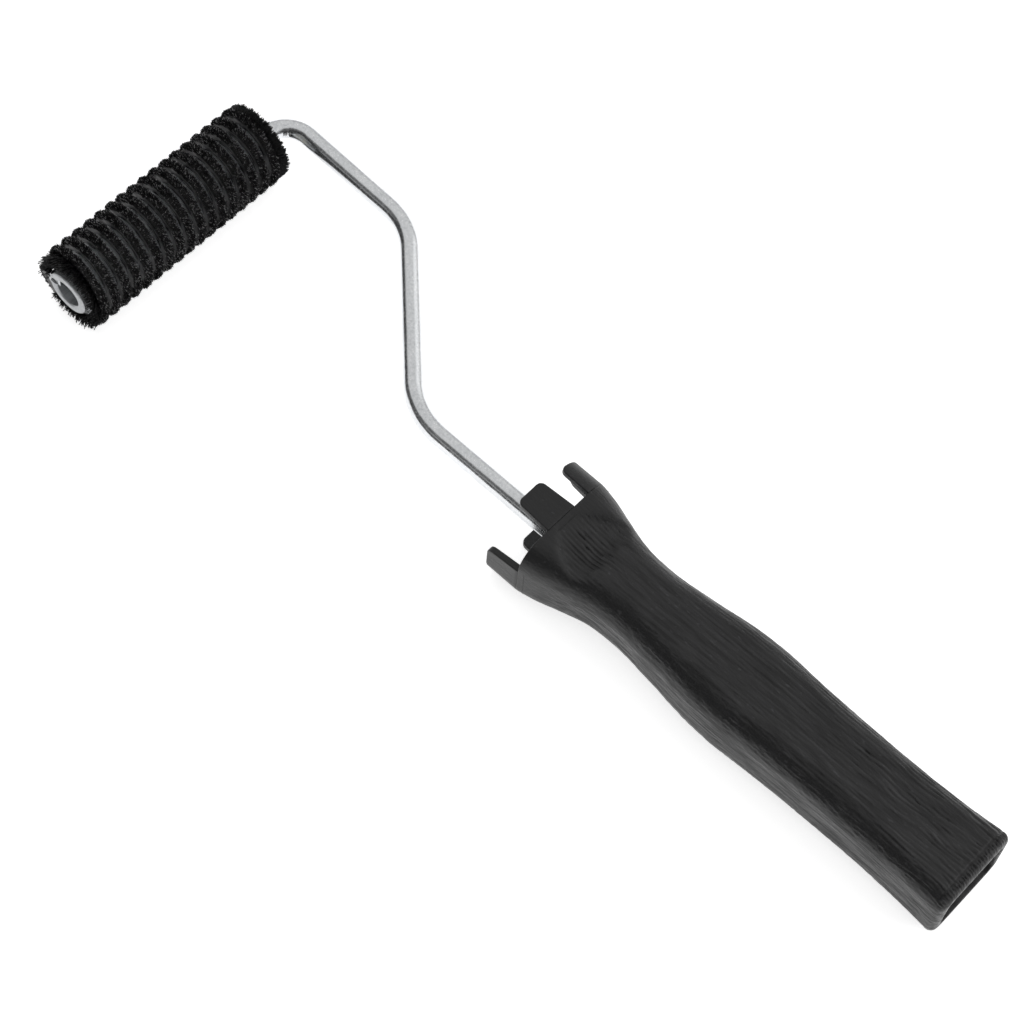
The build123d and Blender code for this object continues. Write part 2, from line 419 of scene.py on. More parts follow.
@dataclass(frozen=True)
class MouldedPlastic(Finish):
    """Injection-moulded plastic: one even colour, with a fine eroded grain and fibres drawn out along X.

    The fibres fade out towards the handle's collar, which comes from a smoother part of the mould.
    """

    grain_mm: float = 0.24
    fibre_mm: float = 0.55
    fleck_mm: float = 0.5
    fibre_share: float = 1.4
    depth_mm: float = 0.09
    smooth_until_mm: float = 11.0
    grained_from_mm: float = 34.0
    smooth_share: float = 0.15
    flow: str = "242425"
    rubbed: str = "38383a"

    def dress(self, coat: Coat) -> None:
        """Adds the eroded grain, the fibres, and a scatter of tiny bright rubs.

        Args:
            coat: The material under way.
        """
        grain = coat.grain(self.grain_mm, (0.45, 1, 1), detail=3.0)
        fibre = coat.grain(self.fibre_mm, (0.09, 1, 1), detail=3.0)
        x = add_node(coat.tree, "ShaderNodeSeparateXYZ", [coat.place]).outputs["X"]
        share = coat.spread(x, self.smooth_share, 1.0, self.smooth_until_mm * MM, self.grained_from_mm * MM)
        swing = add_node(coat.tree, "ShaderNodeMath", [fibre, 0.5], operation="SUBTRACT").outputs[0]
        fibre = add_node(coat.tree, "ShaderNodeMath", [swing, share, 0.5],
                         operation="MULTIPLY_ADD").outputs[0]
        fleck = coat.grain(self.fleck_mm, (0.5, 1, 1), detail=1.0)
        rub = coat.spread(fleck, 0.0, 0.4, 0.66, 0.8)
        both = add_node(coat.tree, "ShaderNodeMath", [fibre, rub], operation="ADD").outputs[0]
        coat.tint(both, {0.38: self.colour, 0.62: self.flow, 1.0: self.rubbed})
        coat.roughen(fibre, self.roughness + 0.16, self.roughness - 0.1, 0.36, 0.64)
        height = add_node(coat.tree, "ShaderNodeMath", [fibre, self.fibre_share, grain],
                          operation="MULTIPLY_ADD").outputs[0]
        coat.relief(height, self.depth_mm)


@dataclass(frozen=True)
class BristleNylon(Finish):
    """Extruded nylon filament: black sides with a soft shine, a few greyed strands and paler cut ends."""

    strand_attribute: str = "strand"
    dust_mm: float = 0.4
    dust_share: float = 0.15
    shine: float = 0.22

    def dress(self, coat: Coat) -> None:
        """Colours each strand by its own number, with a faint dust over them all.

        Args:
            coat: The material under way.
        """
        strand = add_node(coat.tree, "ShaderNodeAttribute", attribute_name=self.strand_attribute)
        dust = coat.grain(self.dust_mm)
        shade = add_node(coat.tree, "ShaderNodeMath", [dust, self.dust_share, strand.outputs["Fac"]],
                         operation="MULTIPLY_ADD").outputs[0]
        coat.shader.inputs["Specular IOR Level"].default_value = self.shine
        coat.tint(shade, {0.0: self.colour, 0.86: "0e0e0f", 0.95: "2e2e2f", 1.0: "b0b0b1"})


@dataclass(frozen=True)
class BrushMass(Finish):
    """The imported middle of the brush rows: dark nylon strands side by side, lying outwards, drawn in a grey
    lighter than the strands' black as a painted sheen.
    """

    streak_mm: float = 0.25
    depth_mm: float = 0.06
    strip_map: str = "strip"

    def dress(self, coat: Coat) -> None:
        """Draws strand lines on the strip's own UV, which counts millimetres along it and out from it.

        Args:
            coat: The material under way.
        """
        strip = add_node(coat.tree, "ShaderNodeUVMap", uv_map=self.strip_map).outputs["UV"]
        lines = add_node(coat.tree, "ShaderNodeMapping", {"Scale": (1, 0.04, 1), "Vector": strip})
        noise = add_node(coat.tree, "ShaderNodeTexNoise", {
            "Scale": 1 / (self.streak_mm * 2), "Detail": 2.0, "Vector": lines.outputs["Vector"]}).outputs[0]
        # Painted sheen: the grey base and the lighter 353536 strand lines stand in for the shine of black
        # nylon; the lines also give the strands' texture.
        coat.tint(noise, {0.3: self.colour, 0.7: "353536"})
        coat.relief(noise, self.depth_mm)


# Drawn wire, zinc plated: light satin grey that takes soft reflections of the room.
ZINC = ZincPlate("zinc_plated_wire", "e4e6e8", 0.2, 0.94)
# Stamped spring steel, zinc plated: a darker grey with the stamping's streaks.
ZINC_CLIPS = RolledStrip("zinc_plated_spring_steel", "c0c2c4", 0.3, 1.0)
# Folded galvanised strip: bright where a glint shows between the rows.
STRIP = RolledStrip("galvanised_strip", "d2d4d6", 0.28, 1.0)
# Extruded aluminium as it leaves the mill: a dull pale ring at each end of the roller.
TUBE = ExtrudedTube("mill_finish_aluminium_tube", "bcbec0", 0.45, 0.75)
# Moulded polypropylene: black, with a soft sheen that the grain breaks up.
HANDLE = MouldedPlastic("moulded_black_polypropylene", "0a0a0b", 0.4, flow="1e1e1f")
# The same plastic in dark grey, duller, deep inside the handle.
FERRULE = MouldedPlastic("moulded_grey_ferrule", "2a2a2b", 0.5, flow="333334")
# Uncoloured moulded nylon: warm off-white bushes.
BUSH = MouldedPlastic("moulded_natural_nylon", "b9b6ab", 0.45, flow="c4c1b6")
# Black nylon filament, cut to length: dark sides and a scatter of paler tips.
STRANDS = BristleNylon("black_nylon_filament", "050506", 0.42)
# The same filament packed side by side: a dark grey wall with lighter streaks along its strands, the grey and
# the streaks a painted sheen of the black nylon.
PAINTED_SHEEN_MASS = BrushMass("packed_nylon_strands_painted_sheen", "1c1c1d", 0.36)


# ------------------------------------------------------------------ handle


class Section(NamedTuple):
    """A square cut through the handle: how far ahead of the butt, and its rounded rectangle."""

    ahead: float
    half_width: float
    half_height: float
    corner: float

    def towards(self, other: "Section", share: float) -> tuple[float, ...]:
        """The section that stands a share of the way from this one to another."""
        return tuple(np.array(self) + (np.array(other) - np.array(self)) * share)


class Outline(NamedTuple):
    """Points round a rounded rectangle, each as a corner centre's share and a direction."""

    share_y: np.ndarray
    share_z: np.ndarray
    angle: np.ndarray

    @classmethod
    def of(cls, per_side: int, per_corner: int, per_end: int) -> "Outline":
        """Spaces points evenly along the four sides and round the four corners.

        Args:
            per_side: Points along each upright side.
            per_corner: Points round each corner.
            per_end: Points along the top and the bottom.

        Returns:
            The outline, anticlockwise from the foot of the +Y side.
        """
        side, end, turn = (np.arange(n) / n for n in (per_side, per_end, per_corner))
        y, z, a = [], [], []
        for quarter in range(4):
            flip = 1 if quarter < 2 else -1
            if quarter % 2 == 0:
                y.append(np.full(per_side, flip))
                z.append(flip * (2 * side - 1))
                corner = (flip, flip)
                a.append(np.full(per_side, quarter * math.pi / 2))
            else:
                y.append(flip * (1 - 2 * end))
                z.append(np.full(per_end, flip))
                corner = (-flip, flip)
                a.append(np.full(per_end, quarter * math.pi / 2))
            y.append(np.full(per_corner, corner[0]))
            z.append(np.full(per_corner, corner[1]))
            a.append((quarter + turn) * math.pi / 2)
        return cls(np.concatenate(y).astype(float), np.concatenate(z).astype(float), np.concatenate(a))

    def points(self, half_w: np.ndarray, half_h: np.ndarray,
               corner: np.ndarray) -> tuple[np.ndarray, np.ndarray]:
        """The outline's points for sections of the given sizes, as their two coordinates."""
        return (self.share_y * (half_w - corner) + corner * np.cos(self.angle),
                self.share_z * (half_h - corner) + corner * np.sin(self.angle))

    def along(self, half_w: np.ndarray, half_h: np.ndarray, corner: np.ndarray) -> np.ndarray:
        """Measures each point's distance round the outline from the middle of its top, or of its bottom.

        Args:
            half_w: Half width of each section.
            half_h: Half height of each section.
            corner: Corner radius of each section.

        Returns:
            The distances, above zero towards +Y.
        """
        tilt = np.minimum(abs(self.angle - math.pi / 2), abs(self.angle - 1.5 * math.pi))
        tilt = np.minimum(tilt, math.pi / 2)
        distance = (abs(self.share_y) * (half_w - corner) + corner * tilt
                    + (1 - abs(self.share_z)) * (half_h - corner))
        side = np.where(abs(self.share_y) > 0, np.sign(self.share_y), 1.0)
        return np.where(tilt > 0, np.sign(np.cos(self.angle)) * distance, side * distance)


class Prong(NamedTuple):
    """A prong's length, where it starts and ends round the rim at root and tip, and its tip's corners.

    Flips of -1 mirror it left to right, and top to bottom.
    """

    length: float
    root: tuple[float, float]
    tip: tuple[float, float]
    corner: float
    flips: tuple[int, int]


class Ripple(NamedTuple):
    """Smooth noise on the handle's skin: how long and wide its lumps are, and its seed."""

    length: float
    width: float
    seed: int

    def over(self, ahead: np.ndarray, along: np.ndarray) -> np.ndarray:
        """The noise at each distance ahead of the butt and along the outline."""
        return soft_noise(ahead / self.length, along / self.width, self.seed)


@dataclass
class MouldedHandle:
    """The hollow moulded grip with its four prongs, grained along its length."""

    sections: tuple[Section, ...] = (
        Section(0.0, 14.5, 11.0, 5.2), Section(9.0, 13.8, 11.0, 5.6), Section(24.0, 13.2, 11.0, 6.0),
        Section(44.0, 13.3, 11.1, 6.4), Section(62.0, 13.8, 11.4, 6.8), Section(76.0, 14.5, 11.5, 7.0),
        Section(84.0, 14.3, 11.3, 7.2), Section(98.0, 12.8, 10.8, 7.4), Section(112.0, 11.7, 10.6, 7.8),
        Section(121.0, 12.2, 10.9, 8.0), Section(130.0, 14.3, 11.8, 8.0), Section(136.5, 16.1, 12.4, 8.0),
        Section(142.0, 17.2, 12.6, 8.0))
    wall: float = 2.2
    prong_length: float = 11.6
    side_prong_from: float = 0.6
    side_prong_past: float = 4.1
    butt_round: float = 2.4
    mouth: Section = Section(0.0, 11.2, 7.8, 3.2)
    back_floor: Section = Section(50.0, 9.2, 6.6, 3.0)
    front_floor: Section = Section(124.0, 9.0, 7.6, 5.0)
    bore_radius: float = 6.0
    edge: float = 0.35
    step: float = 0.6
    fine_step: float = 0.25
    fine_until: float = 6.0
    ridge_pitch: float = 1.25
    ridge_height: float = 0.02
    grip_height: float = 0.055
    butt_height: float = 0.06
    dip_ridge_height: float = 0.11
    pebble_height: float = 0.038
    crackle_height: float = 0.07
    bead_height: float = 0.11
    groove_ahead: float = 2.9
    groove_depth: float = 0.3
    rib_pitch: float = 0.95
    rib_height: float = 0.15
    seam_ahead: float = 118.4
    seam_height: float = 0.07
    wander: Ripple = Ripple(9, 4.5, 3)
    fine_wander: Ripple = Ripple(3.2, 2.0, 4)
    breaks: Ripple = Ripple(4.2, 1.25, 5)
    fine_breaks: Ripple = Ripple(1.7, 0.8, 12)
    dip_breaks: Ripple = Ripple(2.0, 1.2, 9)
    pebble: Ripple = Ripple(1.3, 0.5, 6)
    fine_pebble: Ripple = Ripple(0.75, 0.7, 10)
    crackle: Ripple = Ripple(1.0, 0.75, 14)
    bead_wander: Ripple = Ripple(13, 1.0, 7)
    dip_front: float = 141.0
    dip_valley: float = 128.4
    dip_rear: float = 122.5
    dip_height: float = 9.7
    dip_front_rise: float = 2.9
    dip_rear_rise: float = 1.9
    dip_flare: float = 0.66
    dip_middle: float = -0.6
    dip_softness: float = 0.45
    sharp_deg: float = 55.0
    centre: tuple[float, float] = field(init=False)
    butt_x: float = field(init=False)

    def __post_init__(self) -> None:
        """Takes the handle's place from its CAD node."""
        low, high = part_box("handle_shell")
        self.butt_x = high.x / MM
        self.centre = ((low.y + high.y) / 2 / MM, (low.z + high.z) / 2 / MM)

    @property
    def rim(self) -> Section:
        """The section at the collar's front rim."""
        return self.sections[-1]

    def sizes(self, ahead: np.ndarray) -> np.ndarray:
        """Half width, half height and corner radius at each distance ahead of the butt."""
        table = np.array(self.sections)
        return np.stack([follow(table[:, 0], table[:, k], ahead) for k in (1, 2, 3)], axis=1)

    def skin_rows(self) -> tuple[np.ndarray, np.ndarray]:
        """The outer skin's rows from the rim to the butt.

        Returns:
            How far ahead of the butt each row is, and how far it is drawn in to round an edge.
        """
        turn = np.radians(np.linspace(90, 0, 7)[:-1])
        rim = self.rim.ahead - self.edge * (1 - np.sin(turn))
        rim_inset = self.edge * (1 - np.cos(turn))
        long_run = np.arange(self.rim.ahead - self.edge - 0.1, self.fine_until, -self.step)
        short_run = np.arange(self.fine_until, self.butt_round, -self.fine_step)
        end_turn = np.radians(np.linspace(0, 90, 13))
        end = self.butt_round * (1 - np.sin(end_turn))
        end_inset = self.butt_round * (1 - np.cos(end_turn))
        middle = np.concatenate([long_run, short_run])
        return (np.concatenate([rim, middle, end]),
                np.concatenate([rim_inset, np.zeros(len(middle)), end_inset]))

    def dip_floor(self, ahead: np.ndarray, y: np.ndarray) -> np.ndarray:
        """Finds the height of the thumb dip's floor over the handle's axis.

        Args:
            ahead: Distance of each row ahead of the butt.
            y: Distance of each point off the axis, towards +Y.

        Returns:
            The height, which is above the skin where there is no dip.
        """
        front = np.clip((ahead - self.dip_valley) / (self.dip_front - self.dip_valley), 0, None) ** 1.3
        rear = smooth_step(self.dip_valley, self.dip_rear, ahead)
        beyond = np.clip(ahead - self.dip_front, 0, None) + np.clip(self.dip_rear - ahead, 0, None)
        half_width = 2.4 + self.dip_flare * np.clip(self.dip_front - ahead, 0, None)
        sides = np.clip(abs(y - self.dip_middle) - half_width, 0, None)
        return (self.dip_height + front * self.dip_front_rise + rear * self.dip_rear_rise
                + 2.0 * beyond + 0.5 * sides)

    def ridges(self, ahead: np.ndarray, along: np.ndarray, top: np.ndarray) -> np.ndarray:
        """How far the grain stands out from the skin.

        Args:
            ahead: Distance of each row ahead of the butt.
            along: Distance of each point round the outline from the middle of its face.
            top: 1 on the top and bottom faces, falling to 0 on the sides.

        Returns:
            The height in millimetres, below zero in a groove.
        """
        near_butt = smooth_step(62, 12, ahead)
        wander = (0.25 + 0.75 * near_butt) * self.wander.over(ahead, along)
        wander += 0.25 * near_butt * self.fine_wander.over(ahead, along)
        phase = FULL_TURN * (along + wander) / self.ridge_pitch
        line = np.sin(phase) + 0.3 * np.sin(2 * phase + 0.8)
        breaks = 0.55 + 0.75 * self.breaks.over(ahead, along)
        breaks += 0.3 * self.fine_breaks.over(ahead, along)
        patch = 1 - 0.65 * np.exp(-(((along + 5) / 5) ** 2) - ((ahead - 40) / 28) ** 2)
        grip = self.ridge_height + self.grip_height * smooth_step(104, 62, ahead)
        grip = grip + self.butt_height * near_butt
        width = np.clip(3.0 + self.dip_flare * (self.dip_front - ahead), 0, 10.5)
        dip = self.dip_ridge_height * np.exp(-(((ahead - 131) / 7.5) ** 4))
        dip = dip * smooth_step(width + 0.8, width - 0.8, abs(along - self.dip_middle))
        dip = dip * (0.8 + 0.9 * self.dip_breaks.over(ahead, along))
        height = line * (grip * breaks * patch * (0.35 + 0.65 * top) + dip)
        height *= smooth_step(2.6, 3.4, ahead)
        pebble = self.pebble.over(ahead, along) + 0.7 * self.fine_pebble.over(ahead, along)
        crackle = self.crackle.over(ahead, along) * smooth_step(-6.2, -7.6, along)
        crackle *= smooth_step(-19, -15, along) * smooth_step(120, 92, ahead) * smooth_step(3, 9, ahead)
        height = height + self.pebble_height * pebble * smooth_step(140.5, 132, ahead)
        return height + self.crackle_height * crackle

    def borders(self, ahead: np.ndarray, along: np.ndarray, face: np.ndarray, top: np.ndarray) -> np.ndarray:
        """Makes the raised line along the grained panel's edges, and the groove and ribs at the butt.

        Args:
            ahead: Distance of each row ahead of the butt.
            along: Distance of each point round the outline from the middle of its face.
            face: Half width of the flat face at each row.
            top: 1 on the top and bottom faces, falling to 0 on the sides.

        Returns:
            The height in millimetres.
        """
        wander = 0.9 * self.bead_wander.over(ahead, np.zeros_like(along))
        reach = smooth_step(8, 14, ahead) * smooth_step(98, 86, ahead)
        bead = self.bead_height * np.exp(-(((abs(along) - face - 1.2 - wander) / 0.6) ** 2)) * reach
        groove = -self.groove_depth * np.exp(-(((ahead - self.groove_ahead) / 0.32) ** 2)) * top
        band = smooth_step(2.7, 2.2, ahead) * smooth_step(0.05, 0.5, ahead)
        ribs = self.rib_height * np.sin(FULL_TURN * along / self.rib_pitch) * band * top
        seam_line = -(((ahead - self.seam_ahead) / 2.4) ** 6) - ((along + 1.6) / 0.22) ** 2
        seam = self.seam_height * np.exp(seam_line)
        return bead + groove + ribs + seam

    def place(self, ahead: np.ndarray, y: np.ndarray, z: np.ndarray) -> np.ndarray:
        """Points in the tool's frame from distances ahead of the butt and off the handle's axis."""
        ahead, y, z = np.broadcast_arrays(ahead, y, z)
        return np.stack([self.butt_x - ahead, self.centre[0] + y, self.centre[1] + z], axis=-1)

    def skin(self, outline: Outline) -> np.ndarray:
        """Makes the grained outer skin.

        Args:
            outline: The points round each section.

        Returns:
            One row of points for each station, from the rim to the butt.
        """
        ahead, inset = self.skin_rows()
        half_w, half_h, corner = (column[:, None] for column in self.sizes(ahead).T)
        ahead, inset = ahead[:, None], inset[:, None]
        size = (half_w - inset, half_h - inset, corner - inset)
        y, z = outline.points(*size)
        along = outline.along(*size)
        top = smooth_step(0.25, 0.9, abs(np.sin(outline.angle)))[None, :]
        height = self.ridges(ahead, along, top) + self.borders(ahead, along, half_w - corner, top)
        height *= smooth_step(self.rim.ahead - 0.4, self.rim.ahead - 2.0, ahead)
        over = abs(z) - self.dip_floor(ahead, y)
        drop = self.dip_softness * np.logaddexp(0, over / self.dip_softness)
        z = z - np.sign(z) * drop * (abs(z) > 3)
        return self.place(ahead, y + height * np.cos(outline.angle), z + height * np.sin(outline.angle))

    def hollow(self, outline: Outline) -> np.ndarray:
        """Makes the walls inside the handle: a pocket at each end and the wire's bore between them.

        Args:
            outline: The points round each section.

        Returns:
            One row of points for each station, from the butt's mouth to the rim's inner edge.
        """
        rim_inner = Section(self.rim.ahead, self.rim.half_width - self.wall,
                            self.rim.half_height - self.wall, self.rim.corner - self.wall)
        bore = (self.bore_radius - 0.01,) * 3
        mouth, back, front = self.mouth, self.back_floor, self.front_floor
        rows = [(0.0, mouth.half_width + self.edge, mouth.half_height + self.edge, mouth.corner + self.edge),
                (self.edge * 0.3, mouth.half_width + 0.1, mouth.half_height + 0.1, mouth.corner + 0.1),
                (self.edge, *mouth[1:])]
        rows += [mouth.towards(back, share) for share in (0.1, 0.25, 0.45, 0.7, 1.0)]
        rows += [(back.ahead, *bore), (front.ahead, *bore)]
        rows += [front.towards(rim_inner, share) for share in (0, 0.2, 0.4, 0.6, 0.8, 0.95)]
        rows += [(self.rim.ahead - self.edge, *rim_inner[1:]),
                 (self.rim.ahead, *(size + self.edge for size in rim_inner[1:]))]
        ahead, half_w, half_h, corner = (np.array(column)[:, None] for column in zip(*rows))
        return self.place(ahead, *outline.points(half_w, half_h, corner))

    def at_arc(self, distance: np.ndarray) -> tuple[np.ndarray, ...]:
        """Walks round the rim from the middle of its top.

        Args:
            distance: How far to walk, towards +Y where it is above zero.

        Returns:
            The point's two coordinates off the axis and the skin's direction there.
        """
        flat, tall = self.rim.half_width - self.rim.corner, self.rim.half_height - self.rim.corner
        quarter = self.rim.corner * math.pi / 2
        walked = abs(distance)
        angle = math.pi / 2 - np.clip(walked - flat, 0, quarter) / self.rim.corner
        y = np.minimum(walked, flat) + self.rim.corner * np.cos(angle)
        z = tall + self.rim.corner * np.sin(angle) - np.clip(walked - flat - quarter, 0, None)
        side = np.sign(distance)
        return side * y, z, side * np.cos(angle), np.sin(angle)

    def prong(self, shape: Prong) -> np.ndarray:
        """Makes one prong, from inside the collar's wall to its rounded tip.

        Args:
            shape: The prong's sizes.

        Returns:
            The rows of points.
        """
        length, root, tip, corner, flips = shape
        loop = Outline.of(4, 5, 28)
        turn = np.radians(np.linspace(0, 90, 9))
        out = np.concatenate([[-2.0, -0.05, 0.3], np.linspace(1, length - corner, 7)[:-1],
                              length - corner * (1 - np.sin(turn[:-1])), [length - 0.02, length]])
        into_corner = np.clip(out - length + corner, 0, None)
        narrowing = corner - np.sqrt(np.clip(corner**2 - into_corner**2, 0, None))
        tip_round = self.edge * (1 - np.sqrt(np.clip(
            1 - np.clip((out - length + self.edge) / self.edge, 0, 1) ** 2, 0, 1)))
        share = np.clip(out, 0, None) / length
        low = root[0] + (tip[0] - root[0]) * share + narrowing
        high = root[1] + (tip[1] - root[1]) * share - narrowing
        half = ((high - low) / 2)[:, None]
        thick = (self.wall / 2 * (1 - 0.12 * share) - tip_round)[:, None]
        s, depth = loop.points(half, thick, np.minimum(self.edge, thick * 0.9))
        sunk = np.where(out < 0, 0.3, 0.0)[:, None]
        y, z, way_y, way_z = self.at_arc((low + high)[:, None] / 2 + s)
        reach = depth - self.wall / 2 * (1 - 0.12 * share)[:, None] - sunk
        y, z = y + way_y * reach, z + way_z * reach
        return self.place(self.rim.ahead + out[:, None], flips[0] * y, flips[1] * z)

    def build(self) -> bpy.types.Object:
        """Makes the whole handle as one closed mesh that stands for its CAD node.

        Returns:
            The handle, with its prongs joined on.
        """
        outline = Outline.of(26, 34, 64)
        around = len(outline.angle)
        rows = np.concatenate([self.skin(outline), self.hollow(outline)])
        handle = make_piece("grained_handle", rows, ring_faces(len(rows), around, closed=True),
                            self.sharp_deg)
        flat = self.rim.half_width - self.rim.corner
        start = flat + self.rim.corner * math.asin(self.side_prong_from / self.rim.corner)
        end = (flat + self.rim.corner * math.pi / 2 + self.rim.half_height - self.rim.corner
               + self.side_prong_past)
        length = self.prong_length
        prongs = [Prong(length, (-6.1, 4.4), (-5.5, 3.7), 1.8, (1, 1)),
                  Prong(length - 1.4, (-4.4, 5.6), (-3.7, 4.9), 1.8, (1, -1)),
                  Prong(length - 1.4, (start, end), (start + 0.2, end - 1.5), 1.9, (1, 1)),
                  Prong(length - 0.6, (start, end), (start + 0.2, end - 1.5), 1.9, (-1, -1))]
        for number, shape in enumerate(prongs):
            rows = self.prong(shape)
            cutter = make_piece(f"prong_{number}", rows, ring_faces(*rows.shape[:2]))
            join = handle.modifiers.new("join_prong", "BOOLEAN")
            join.operation = "UNION"
            join.solver = "MANIFOLD"
            join.object = cutter
        bake_modifiers(handle)
        handle.data.set_sharp_from_angle(angle=math.radians(self.sharp_deg))
        for number in range(len(prongs)):
            bpy.data.objects.remove(bpy.data.objects[f"prong_{number}"])
        return handle

    def dress(self, handle: bpy.types.Object) -> None:
        """Gives the handle its plastic and its place on the frame.

        Args:
            handle: The built handle.
        """
        handle.data.materials.clear()
        handle.data.materials.append(HANDLE.material())
        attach(handle, Body.FRAME.value)
        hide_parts("handle_shell")


# ------------------------------------------------------------------ wire


def turned(way: Vector, angle: float) -> Vector:
    """Turns a flat vector anticlockwise by an angle in radians."""
    return Vector((way.x * math.cos(angle) - way.y * math.sin(angle),
                   way.x * math.sin(angle) + way.y * math.cos(angle)))


@dataclass
class BentWire:
    """The drawn wire: an axle through the roller, an outer run, and a stem into the handle."""

    radius: float = 3.0
    run_offset: float = 45.85
    toe_in: float = 1.88
    outer_bend_ahead: float = 240.7
    inner_bend_ahead: float = 196.4
    roller_ahead: float = 292.0
    end_ahead: float = 62.0
    bends: tuple[float, float, float] = (24.0, 22.0, 9.0)
    around: int = 48
    crease_depth: float = 0.16
    crease_pitch: float = 0.9
    flattening: float = 0.035
    dent_depth: float = 0.012
    dent_pitch: float = 1.1
    chamfer: float = 0.84
    straight_step: float = 1.5
    bend_step: float = 0.35
    axle_rings: int = 50

    def corners(self) -> list[Vector]:
        """Finds the route's end points and sharp corners in the wire's plane.

        Returns:
            The points, from the handle outwards.
        """
        butt_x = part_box("handle_shell")[1].x / MM
        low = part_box("frame_wire")[0]
        axis_y = sum(c.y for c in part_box("wire_ferrule")) / 2 / MM
        outer_y = axis_y + self.run_offset
        return [Vector((butt_x - self.end_ahead, axis_y)),
                Vector((butt_x - self.inner_bend_ahead, axis_y)),
                Vector((butt_x - self.outer_bend_ahead, outer_y - self.toe_in)),
                Vector((butt_x - self.roller_ahead, outer_y)),
                Vector((butt_x - self.roller_ahead, low.y / MM))]

    def route(self) -> tuple[np.ndarray, np.ndarray, np.ndarray]:
        """Points along the wire's middle.

        Returns:
            The points, the direction of travel at each, and how far each is bent, from -1 to 1.
        """
        corners = self.corners()
        rings = []
        start = corners[0]
        for before, corner, after, radius in zip(corners, corners[1:], corners[2:], self.bends):
            arrive = (corner - before).normalized()
            leave = (after - corner).normalized()
            turn = arrive.angle_signed(leave)
            side = -math.copysign(1, turn)
            setback = radius * math.tan(abs(turn) / 2)
            arc_start = corner - arrive * setback
            steps = max(2, int((arc_start - start).length / self.straight_step))
            for t in np.linspace(0, 1, steps, endpoint=False):
                rings.append((start.lerp(arc_start, t), arrive, 0.0))
            centre = arc_start + Vector((-arrive.y, arrive.x)) * side * radius
            steps = max(8, int(abs(turn) * radius / self.bend_step))
            for t in np.linspace(0, 1, steps, endpoint=False):
                angle = t * abs(turn) * side
                spoke = centre + turned(arc_start - centre, angle)
                bent = side * abs(math.sin(math.pi * t)) ** 1.5 * min(1, min(self.bends) / radius)
                rings.append((spoke, turned(arrive, angle), bent))
            start = corner + leave * setback
        for t in np.linspace(0, 1, self.axle_rings):
            rings.append((start.lerp(corners[-1], t), leave, 0.0))
        points, ways, bends = (np.array(column) for column in zip(*rings))
        return points, ways, bends

    def build(self) -> bpy.types.Object:
        """Makes the wire, a little flattened and creased on the inside of its bends, with dressed ends.

        Returns:
            The wire, as one closed mesh.
        """
        height = sum(c.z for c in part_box("wire_ferrule")) / 2 / MM
        points, ways, bent = self.route()
        length = np.concatenate([[0], np.cumsum(np.linalg.norm(np.diff(points, axis=0), axis=1))])
        angle = np.linspace(0, FULL_TURN, self.around, endpoint=False)[None, :]
        left = np.stack([-ways[:, 1], ways[:, 0]], axis=1)
        inner = np.clip(np.cos(angle) * np.sign(bent)[:, None], 0, 1) ** 3
        crease = np.clip(soft_noise(length[:, None] / self.crease_pitch, angle * 0, 13) - 0.1, 0, 1)
        crease = crease * self.crease_depth * inner * abs(bent)[:, None]
        flatten = 1 - self.flattening * abs(bent)[:, None] * abs(np.cos(angle))
        dents = self.dent_depth * soft_noise(length[:, None] / self.dent_pitch, angle * 4, 11)
        reach = self.radius * flatten - crease + dents
        chamfer = np.ones(len(points))
        chamfer[[0, -1]] = self.chamfer
        reach = reach * chamfer[:, None]
        flat = points[:, None, :] + left[:, None, :] * (reach * np.cos(angle))[..., None]
        rows = np.concatenate([flat, (height + reach * np.sin(angle))[..., None]], axis=2)
        return make_piece("bent_wire", rows, ring_faces(len(rows), self.around), 35)

    def dress(self, wire: bpy.types.Object) -> None:
        """Plates the wire and fixes it to the frame.

        Args:
            wire: The built wire.
        """
        wire.data.materials.append(ZINC.material())
        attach(wire, Body.FRAME.value)
        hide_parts("frame_wire")


# ------------------------------------------------------------------ roller


class Fan(NamedTuple):
    """Fanned strands at one end of the roller.

    The end is -1 or 1, past is how far they lean over the tube's end, droop is how far the outermost lie
    down, and count is how many there are.
    """

    end: int
    past: float
    droop: float
    count: int


